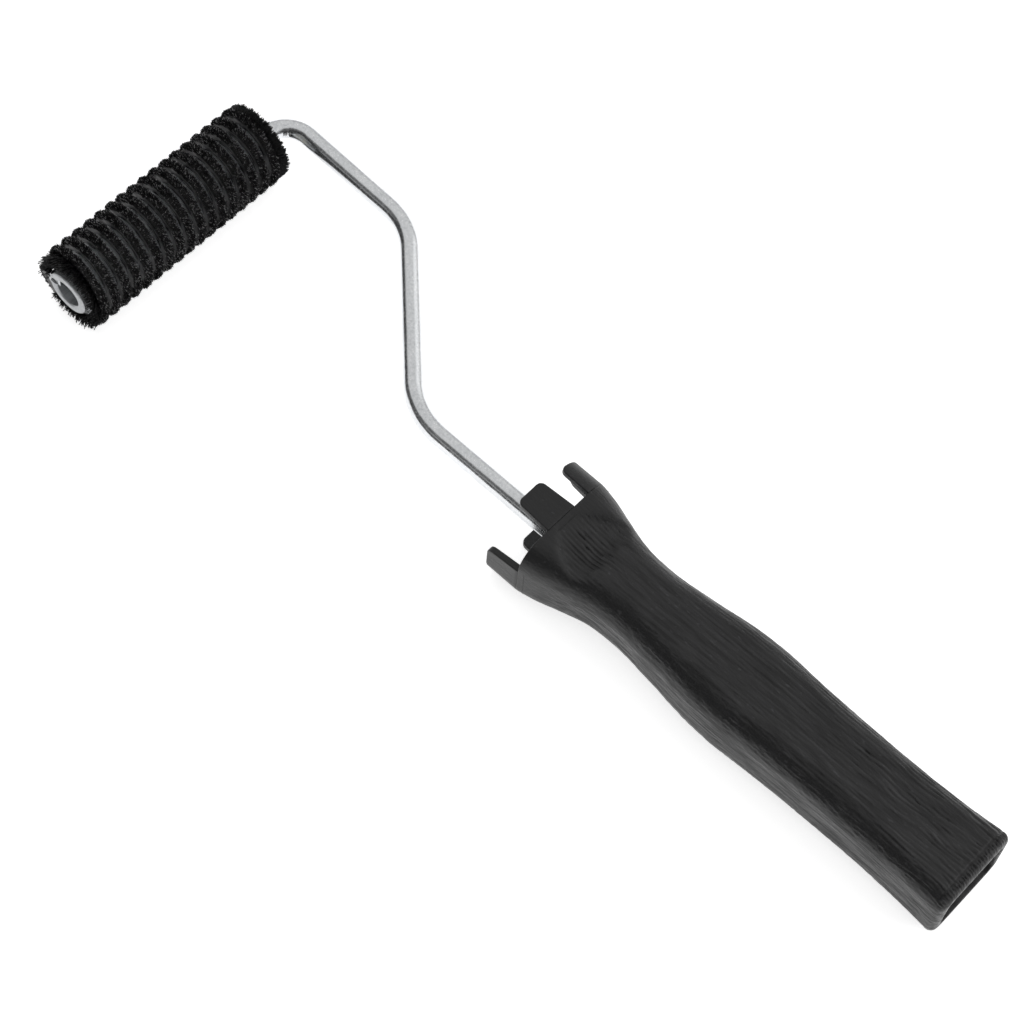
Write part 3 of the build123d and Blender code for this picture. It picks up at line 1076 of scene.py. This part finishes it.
@dataclass
class WoundBrush:
    """The brush strip wound on the tube: a packed ribbon, cut strands over it and a few strays."""

    pitch: float = 4.15
    margin: float = 1.75
    seat: float = 6.92
    tip_radius: float = 12.62
    strand_radius: float = 0.125
    strands_per_piece: int = 22500
    strand_pieces: int = 4
    strand_seed: int = 40
    root_reach: float = 3.1
    root_half_width: float = 0.68
    tip_half_width: float = 1.24
    shoulder_drop: float = 1.35
    dome_rise: float = 1.25
    tip_scatter: tuple[float, float] = (-0.22, 0.12)
    lean: float = 0.42
    ribbon_steps: int = 84
    ribbon: tuple[tuple[float, float], ...] = (
        (0.42, 0.62), (1.6, 0.68), (2.6, 0.84), (3.5, 1.0), (4.2, 1.12), (4.5, 1.05), (4.8, 0.6))
    ribbon_wobble: float = 0.12
    loose_sides: int = 3
    loose_rings: int = 5
    mean_radius: float = 10.5
    fans: tuple[Fan, ...] = (Fan(-1, 0.15, 4.1, 1100), Fan(1, 0.9, 1.6, 2600))
    fan_root: float = 1.7
    fan_foot: float = 5.3
    fan_top: float = 5.5
    strays_per_end: int = 40
    axis: tuple[float, float] = field(init=False)
    start_y: float = field(init=False)
    length: float = field(init=False)

    def __post_init__(self) -> None:
        """Takes the roller's axis and the tube's ends from the frame."""
        low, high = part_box("core_tube")
        self.axis = ((low.x + high.x) / 2 / MM, (low.z + high.z) / 2 / MM)
        self.start_y = low.y / MM + self.margin
        self.length = (high.y - low.y) / MM - 2 * self.margin

    @property
    def turns(self) -> float:
        """How many times the strip goes round the tube."""
        return self.length / self.pitch

    def spot(self, turn: np.ndarray, reach: np.ndarray, across: np.ndarray) -> np.ndarray:
        """Points on the winding.

        Args:
            turn: How many turns from the strip's start at the free end.
            reach: Distance from the roller's axis.
            across: Distance from the middle of the row, towards the wire's bend.

        Returns:
            The points, one row each.
        """
        angle = FULL_TURN * turn
        turn, reach, across = np.broadcast_arrays(turn, reach, across)
        return np.stack([self.axis[0] - reach * np.cos(angle), self.start_y + self.pitch * turn + across,
                         self.axis[1] - reach * np.sin(angle)], axis=-1)

    def build_ribbon(self) -> bpy.types.Object:
        """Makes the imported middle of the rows, with a UV that counts millimetres along and out.

        Returns:
            The ribbon, as one closed mesh that stands for its CAD node.
        """
        steps = int(self.turns * self.ribbon_steps) + 1
        turn = np.linspace(0, self.turns, steps)[:, None]
        right = list(self.ribbon)
        profile = np.array(right + [(reach, -half) for reach, half in reversed(right)])
        reach, across = profile[:, 0][None, :], profile[:, 1][None, :]
        wobble = self.ribbon_wobble * soft_noise(turn * 26, np.sign(across) * 3 + 5, 21) * (reach > 1.5)
        tall = self.ribbon_wobble * soft_noise(turn * 40, reach * 0, 22) * (reach > 4)
        rows = self.spot(turn, self.seat + reach + tall, across * (1 + wobble))
        ribbon = make_piece("bristle_rows", rows, ring_faces(steps, len(profile)), 60)
        layer = ribbon.data.uv_layers.new(name=PAINTED_SHEEN_MASS.strip_map)
        index = np.empty(len(ribbon.data.loops), int)
        ribbon.data.loops.foreach_get("vertex_index", index)
        along = index // len(profile) * (FULL_TURN * self.mean_radius / self.ribbon_steps)
        outward = profile[index % len(profile), 0]
        layer.data.foreach_set("uv", np.stack([along, outward], axis=1).astype(np.float32).ravel())
        return ribbon

    def strand_tree(self) -> bpy.types.NodeTree:
        """The node tree that plants cut strands along a stretch of the winding.

        Returns:
            The tree.  Its inputs are the number of strands, the first and last turn, and the seed.
        """
        tree = bpy.data.node_groups.new("brush_strands", "GeometryNodeTree")
        face = tree.interface
        face.new_socket("Geometry", in_out="OUTPUT", socket_type="NodeSocketGeometry")
        for name, kind in (("Count", "NodeSocketInt"), ("First Turn", "NodeSocketFloat"),
                           ("Last Turn", "NodeSocketFloat"), ("Seed", "NodeSocketInt"),
                           ("Strand Radius", "NodeSocketFloat"), ("Material", "NodeSocketMaterial")):
            face.new_socket(name, in_out="INPUT", socket_type=kind)
        given = add_node(tree, "NodeGroupInput").outputs
        index = add_node(tree, "GeometryNodeInputIndex").outputs[0]

        def seeded(step: int) -> bpy.types.NodeSocket:
            """The tree's seed plus a step, so that each random value differs."""
            return add_node(tree, "ShaderNodeMath", [given["Seed"], step], operation="ADD").outputs[0]

        def chance(low: float, high: float, step: int) -> bpy.types.NodeSocket:
            """A random number from low to high for each strand, drawn with the seed plus a step."""
            return add_node(tree, "FunctionNodeRandomValue", {2: low, 3: high, "Seed": seeded(step)},
                            data_type="FLOAT").outputs[1]

        share = add_node(tree, "ShaderNodeMath", [index, chance(0, 1, 1)], operation="ADD").outputs[0]
        share = add_node(tree, "ShaderNodeMath", [share, given["Count"]], operation="DIVIDE").outputs[0]
        span = add_node(tree, "ShaderNodeMath", [given["Last Turn"], given["First Turn"]],
                        operation="SUBTRACT").outputs[0]
        turn = add_node(tree, "ShaderNodeMath", [share, span, given["First Turn"]],
                        operation="MULTIPLY_ADD").outputs[0]
        across = chance(-1, 1, 2)
        square = add_node(tree, "ShaderNodeMath", [across, across], operation="MULTIPLY").outputs[0]
        square = add_node(tree, "ShaderNodeMath", [1.0, square], operation="SUBTRACT").outputs[0]
        dome = add_node(tree, "ShaderNodeMath", [square], operation="SQRT").outputs[0]
        spin = add_node(tree, "ShaderNodeMath", [turn, -FULL_TURN], operation="MULTIPLY").outputs[0]
        out = add_node(tree, "ShaderNodeVectorRotate", {"Vector": (-1, 0, 0), "Angle": spin},
                       rotation_type="Y_AXIS").outputs[0]
        row_y = add_node(tree, "ShaderNodeMath", [turn, self.pitch * MM, self.start_y * MM],
                         operation="MULTIPLY_ADD").outputs[0]

        def strand_end(radius: bpy.types.NodeSocket | float, half_width: float) -> bpy.types.NodeSocket:
            """Places one end of each strand.

            Args:
                radius: How far it is from the roller's axis, in metres.
                half_width: How far the outermost strands are from the middle of the row, in millimetres.

            Returns:
                The end's position.
            """
            y = add_node(tree, "ShaderNodeMath", [across, half_width * MM, row_y],
                         operation="MULTIPLY_ADD").outputs[0]
            base = add_node(tree, "ShaderNodeCombineXYZ", [self.axis[0] * MM, y, self.axis[1] * MM])
            reach = add_node(tree, "ShaderNodeVectorMath", {0: out, "Scale": radius}, operation="SCALE")
            return add_node(tree, "ShaderNodeVectorMath", [reach.outputs[0], base.outputs[0]],
                            operation="ADD").outputs[0]

        root = strand_end((self.seat + self.root_reach) * MM, self.root_half_width)
        shoulder = (self.tip_radius - self.shoulder_drop) * MM
        reach = add_node(tree, "ShaderNodeMath", [dome, self.dome_rise * MM, shoulder],
                         operation="MULTIPLY_ADD").outputs[0]
        scatter = chance(self.tip_scatter[0] * MM, self.tip_scatter[1] * MM, 3)
        reach = add_node(tree, "ShaderNodeMath", [reach, scatter], operation="ADD").outputs[0]
        sway = add_node(tree, "FunctionNodeRandomValue", {0: (-1, -1, -1), 1: (1, 1, 1), "Seed": seeded(4)},
                        data_type="FLOAT_VECTOR").outputs[0]
        cubed = add_node(tree, "ShaderNodeVectorMath", [sway, sway], operation="MULTIPLY").outputs[0]
        cubed = add_node(tree, "ShaderNodeVectorMath", [cubed, sway], operation="MULTIPLY").outputs[0]
        lean = add_node(tree, "ShaderNodeVectorMath", {0: cubed, "Scale": self.lean * MM},
                        operation="SCALE").outputs[0]
        tip = add_node(tree, "ShaderNodeVectorMath", [strand_end(reach, self.tip_half_width), lean],
                       operation="ADD").outputs[0]
        way = add_node(tree, "ShaderNodeVectorMath", [tip, root], operation="SUBTRACT").outputs[0]
        length = add_node(tree, "ShaderNodeVectorMath", [way], operation="LENGTH").outputs["Value"]
        points = add_node(tree, "GeometryNodePoints", {"Count": given["Count"], "Position": root})
        strand = add_node(tree, "GeometryNodeMeshCone", {
            "Vertices": 3, "Radius Top": 0.8, "Radius Bottom": 1.0, "Depth": 1.0})
        aim = add_node(tree, "FunctionNodeAlignRotationToVector", {"Vector": way}, axis="Z")
        twist = add_node(tree, "FunctionNodeAxisAngleToRotation", {
            "Axis": (0, 0, 1), "Angle": chance(0, FULL_TURN, 5)})
        aimed = add_node(tree, "FunctionNodeRotateRotation", [aim.outputs[0], twist.outputs[0]],
                         rotation_space="LOCAL")
        thick = given["Strand Radius"]
        size = add_node(tree, "ShaderNodeCombineXYZ", [thick, thick, length])
        planted = add_node(tree, "GeometryNodeInstanceOnPoints", {
            "Points": points.outputs[0], "Instance": strand.outputs["Mesh"],
            "Rotation": aimed.outputs[0], "Scale": size.outputs[0]})
        numbered = add_node(tree, "GeometryNodeStoreNamedAttribute", {
            "Name": STRANDS.strand_attribute, "Geometry": planted.outputs[0], "Value": chance(0, 1, 6)},
            data_type="FLOAT", domain="INSTANCE")
        real = add_node(tree, "GeometryNodeRealizeInstances", {"Geometry": numbered.outputs[0]})
        finished = add_node(tree, "GeometryNodeSetMaterial", {
            "Geometry": real.outputs[0], "Material": given["Material"]})
        add_node(tree, "NodeGroupOutput", [finished.outputs[0]])
        return tree

    def build_strands(self, material: bpy.types.Material) -> list[bpy.types.Object]:
        """Plants the cut strands, in pieces that share the winding between them.

        Args:
            material: The strands' nylon.

        Returns:
            The pieces, from the free end to the bend end.
        """
        tree = self.strand_tree()
        sockets = {s.name: s.identifier for s in tree.interface.items_tree if s.in_out == "INPUT"}
        made = []
        for number in range(self.strand_pieces):
            name = f"bristle_strands_{number + 1}"
            piece = bpy.data.objects.new(name, bpy.data.meshes.new(name))
            bpy.context.scene.collection.objects.link(piece)
            grow = piece.modifiers.new("strands", "NODES")
            grow.node_group = tree
            grow[sockets["Count"]] = self.strands_per_piece
            grow[sockets["First Turn"]] = self.turns * number / self.strand_pieces
            grow[sockets["Last Turn"]] = self.turns * (number + 1) / self.strand_pieces
            grow[sockets["Seed"]] = self.strand_seed + 10 * number
            grow[sockets["Strand Radius"]] = self.strand_radius * MM
            grow[sockets["Material"]] = material
            bake_modifiers(piece)
            made.append(piece)
        return made

    def curved_strands(self, name: str, roots: np.ndarray, bends: np.ndarray,
                       tips: np.ndarray) -> bpy.types.Object:
        """Makes one piece of curved strands, each one closed.

        Args:
            name: The piece's name.
            roots: Where each strand starts.
            bends: The point that each strand curves towards.
            tips: Where each strand ends.

        Returns:
            The piece.
        """
        sides, rings = self.loose_sides, self.loose_rings
        corner = FULL_TURN * np.arange(sides) / sides
        t = np.linspace(0, 1, rings)[None, :, None]
        lines = (1 - t) ** 2 * roots[:, None] + 2 * t * (1 - t) * bends[:, None] + t**2 * tips[:, None]
        way = tips - roots
        across = np.cross(way, (0.31, 0.22, 0.92))
        across /= np.linalg.norm(across, axis=1, keepdims=True)
        other = np.cross(way, across)
        other /= np.linalg.norm(other, axis=1, keepdims=True)
        turn_in, turn_up = np.cos(corner)[None, :, None], np.sin(corner)[None, :, None]
        circle = turn_in * across[:, None] + turn_up * other[:, None]
        points = lines[:, :, None, :] + self.strand_radius * circle[:, None]
        one = ring_faces(rings, sides)
        faces = [tuple(i + k * sides * rings for i in face) for k in range(len(roots)) for face in one]
        return make_piece(name, points, faces, 180)

    def end_spots(self, end: int, count: int, rng: np.random.Generator) -> tuple[np.ndarray, np.ndarray]:
        """Picks places along the strip's first or last turn.

        Args:
            end: -1 for the free end, 1 for the bend end.
            count: How many places.
            rng: The random numbers.

        Returns:
            The turn at each place, and how far the tube's end is from the middle of the row there.
        """
        into = rng.uniform(0.14, 1.03, count)
        turn = into if end < 0 else self.turns - into
        return turn, self.margin + self.pitch * into

    def build_fringe(self) -> bpy.types.Object:
        """Makes the strands of the end turns, which fan out over the tube as far as its ends.

        Returns:
            The strands, as one piece.
        """
        rng = np.random.default_rng(15)
        roots, bends, tips = [], [], []
        for end, past, droop, count in self.fans:
            turn, gap = self.end_spots(end, count, rng)
            fan = rng.uniform(0, 1, len(turn)) ** 0.5
            low = self.fan_foot - droop * fan
            reach = self.seat + low + (self.fan_top - low) * rng.uniform(0, 1, len(turn))
            lean = end * (1.0 + fan * np.clip(gap - 1.0 + past + rng.normal(0, 0.2, len(turn)), 0, None))
            roots.append(self.spot(turn, self.seat + self.fan_root + 0 * turn, 0.5 * end))
            halfway = (self.seat + self.fan_root + reach) / 2 + 0.5
            bends.append(self.spot(turn, halfway, end * 0.8 + 0.35 * (lean - end)))
            tips.append(self.spot(turn + rng.normal(0, 0.006, len(turn)), reach, lean))
        return self.curved_strands("fanned_bristles", *(np.concatenate(x) for x in (roots, bends, tips)))

    def build_strays(self) -> bpy.types.Object:
        """Makes the loose curved strands that stick out past both ends of the roller.

        Returns:
            The strands, as one piece.
        """
        rng = np.random.default_rng(8)
        roots, bends, tips = [], [], []
        for end in (-1, 1):
            turn, gap = self.end_spots(end, self.strays_per_end, rng)
            reach = rng.uniform(9.5, self.tip_radius - 0.1, len(turn))
            lean = end * (gap + rng.uniform(-0.3, 1.6 if end > 0 else 0.9, len(turn)))
            roots.append(self.spot(turn, self.seat + 2.0 + 0 * turn, 0.6 * end))
            bends.append(self.spot(turn, (self.seat + reach) / 2 + 2.0, 1.2 * end))
            tips.append(self.spot(turn + rng.normal(0, 0.02, len(turn)), reach, lean))
        return self.curved_strands("stray_bristles", *(np.concatenate(x) for x in (roots, bends, tips)))

    def dress(self, ribbon: bpy.types.Object, strands: list[bpy.types.Object],
              loose: list[bpy.types.Object], nylon: bpy.types.Material) -> None:
        """Gives the brush its nylon and hangs it all on the roller.

        Args:
            ribbon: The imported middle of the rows.
            strands: The cut strands, which already have their nylon.
            loose: The fanned and stray strands.
            nylon: The nylon of the loose strands.
        """
        ribbon.data.materials.append(PAINTED_SHEEN_MASS.material())
        for piece in loose:
            piece.data.materials.append(nylon)
        for piece in (ribbon, *loose, *strands):
            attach(piece, Body.ROLLER.value)
        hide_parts("bristle_ribbon")


@dataclass
class CarriedNodes:
    """The CAD nodes that stay in view, each with its finish."""

    finishes: tuple[tuple[str, Finish], ...] = (
        ("core_tube", TUBE), ("bush_free_end", BUSH), ("bush_bend_end", BUSH),
        ("strip_channel", STRIP), ("strip_core_wire", ZINC_CLIPS), ("strip_start_hook", STRIP),
        ("push_nut", ZINC_CLIPS), ("thrust_washer_free_end", ZINC_CLIPS),
        ("thrust_washer_bend_end", ZINC_CLIPS), ("wire_ferrule", FERRULE))

    def dress(self, nodes: dict[str, bpy.types.Object]) -> None:
        """Puts each finish on its nodes, one material for each finish.

        Args:
            nodes: The frame's nodes by name.
        """
        made = {finish: finish.material() for finish in dict.fromkeys(f for _, f in self.finishes)}
        for name, finish in self.finishes:
            nodes[name].data.materials.clear()
            nodes[name].data.materials.append(made[finish])
            LOG.info("node %s is %s", name, finish.name)


# ------------------------------------------------------------------ studio


@dataclass(frozen=True)
class SoftBox:
    """A square studio light that faces the tool."""

    name: str
    place: tuple[float, float, float]
    side: float
    watts: float


@dataclass
class Studio:
    """Pale floor, soft lights and the camera."""

    eye: tuple[float, float, float] = (205.58, -285.47, 658.84)
    aim: tuple[float, float, float] = (-4.23, -7.42, 12.7)
    roll_deg: float = -6.716
    lens: float = 95.62
    sensor: float = 36.0
    floor_colour: str = "f4f4f4"
    floor_half: float = 6000.0
    floor_drop: float = 0.02
    floor_glow: float = 0.75
    light_colour: str = "ffffff"
    ceiling: float = 0.67
    dark_side: float = 0.04
    bright_side: float = 0.52
    gap_edges: tuple[tuple[float, float], ...] = ((-1.1, -0.98), (-0.56, -0.44))
    gap_light: float = 0.16
    lights: tuple[SoftBox, ...] = (
        SoftBox("side_light", (300, 1000, 700), 900, 0.9),
        SoftBox("end_light", (900, 250, 500), 300, 1.0),
    )

    def build_floor(self) -> None:
        """Lays a wide floor just under the tool."""
        sides = ((-1, -1), (1, -1), (1, 1), (-1, 1))
        corners = np.array([(x * self.floor_half, y * self.floor_half, -self.floor_drop) for x, y in sides])
        mesh = bpy.data.meshes.new("studio_floor")
        mesh.from_pydata((corners * MM).tolist(), [], [(0, 1, 2, 3)])
        floor = bpy.data.objects.new("studio_floor", mesh)
        bpy.context.scene.collection.objects.link(floor)
        material = bpy.data.materials.new("pale_floor_paint")
        material.use_nodes = True
        shader = material.node_tree.nodes["Principled BSDF"]
        shader.inputs["Base Color"].default_value = hex_colour(self.floor_colour)
        shader.inputs["Roughness"].default_value = 0.9
        shader.inputs["Specular IOR Level"].default_value = 0.1
        shader.inputs["Emission Color"].default_value = hex_colour(self.light_colour)
        shader.inputs["Emission Strength"].default_value = self.floor_glow
        mesh.materials.append(material)

    def room_light(self, tree: bpy.types.NodeTree) -> bpy.types.NodeSocket:
        """Works out how bright the room is in each direction.

        The ceiling is grey, the wall at -Y is dark and the wall at +Y is bright.  A dark gap runs along X
        between the ceiling and the -Y wall, which draws a dark line along the wire.

        Args:
            tree: The world's tree.

        Returns:
            The strength of the light.
        """
        way = add_node(tree, "ShaderNodeTexCoord").outputs["Generated"]
        parts = add_node(tree, "ShaderNodeSeparateXYZ", [way]).outputs
        wall = add_node(tree, "ShaderNodeMapRange", {
            "From Min": -0.55, "From Max": 0.25, "To Min": self.dark_side, "To Max": self.bright_side,
            "Value": parts["Y"]}).outputs[0]
        height = add_node(tree, "ShaderNodeMapRange", {
            "From Min": 0.27, "From Max": 0.54, "Value": parts["Z"]},
            interpolation_type="SMOOTHSTEP").outputs[0]
        room = add_node(tree, "ShaderNodeMix", {"Factor": height, "A": wall, "B": self.ceiling}).outputs[0]
        tilt = add_node(tree, "ShaderNodeMath", [parts["Y"], parts["Z"]], operation="ARCTAN2").outputs[0]
        edges = [add_node(tree, "ShaderNodeMapRange", {"From Min": low, "From Max": high, "Value": tilt},
                          interpolation_type="SMOOTHSTEP").outputs[0] for low, high in self.gap_edges]
        gap = add_node(tree, "ShaderNodeMath", edges, operation="SUBTRACT").outputs[0]
        lit = add_node(tree, "ShaderNodeMath", [gap, self.gap_light - 1, 1.0],
                       operation="MULTIPLY_ADD").outputs[0]
        return add_node(tree, "ShaderNodeMath", [room, lit], operation="MULTIPLY").outputs[0]

    def build_lights(self) -> None:
        """Lights the room and hangs the soft boxes in it."""
        world = bpy.data.worlds.new("studio_room")
        world.use_nodes = True
        background = world.node_tree.nodes["Background"]
        world.node_tree.links.new(self.room_light(world.node_tree), background.inputs["Strength"])
        background.inputs["Color"].default_value = hex_colour(self.light_colour)
        bpy.context.scene.world = world
        for box in self.lights:
            light = bpy.data.lights.new(box.name, "AREA")
            light.energy = box.watts
            light.size = box.side * MM
            lamp = bpy.data.objects.new(box.name, light)
            lamp.location = Vector(box.place) * MM
            lamp.rotation_mode = "QUATERNION"
            lamp.rotation_quaternion = (-lamp.location).to_track_quat("-Z", "Y")
            bpy.context.scene.collection.objects.link(lamp)

    def build_camera(self) -> None:
        """Stands the camera over the butt end, looking down along the tool, with a slight roll."""
        camera = bpy.data.objects.new("camera", bpy.data.cameras.new("camera"))
        camera.data.lens = self.lens
        camera.data.sensor_width = self.sensor
        camera.data.clip_start = 0.01
        camera.data.clip_end = 50.0
        eye, aim = Vector(self.eye) * MM, Vector(self.aim) * MM
        camera.location = eye
        camera.rotation_mode = "QUATERNION"
        level = (aim - eye).to_track_quat("-Z", "Y")
        camera.rotation_quaternion = level @ Quaternion((0, 0, 1), -math.radians(self.roll_deg))
        bpy.context.scene.collection.objects.link(camera)
        bpy.context.scene.camera = camera

    def build(self) -> None:
        """Builds the whole studio."""
        self.build_floor()
        self.build_lights()
        self.build_camera()
        bpy.context.scene.view_settings.view_transform = "Standard"


def main() -> None:
    """Loads the frame, builds each sub-assembly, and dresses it."""
    logging.basicConfig(level=logging.INFO, format="%(name)s %(message)s")
    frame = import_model()

    grip = MouldedHandle()
    handle = grip.build()
    grip.dress(handle)

    bent = BentWire()
    wire = bent.build()
    bent.dress(wire)

    brush = WoundBrush()
    nylon = STRANDS.material()
    ribbon, strands = brush.build_ribbon(), brush.build_strands(nylon)
    loose = [brush.build_fringe(), brush.build_strays()]
    brush.dress(ribbon, strands, loose, nylon)

    CarriedNodes().dress(frame["nodes"])
    Studio().build()

    for piece in (handle, wire, ribbon, *loose, *strands):
        piece.data.calc_loop_triangles()
        LOG.info("piece %s has %d triangles", piece.name, len(piece.data.loop_triangles))


if __name__ == "__main__":
    main()
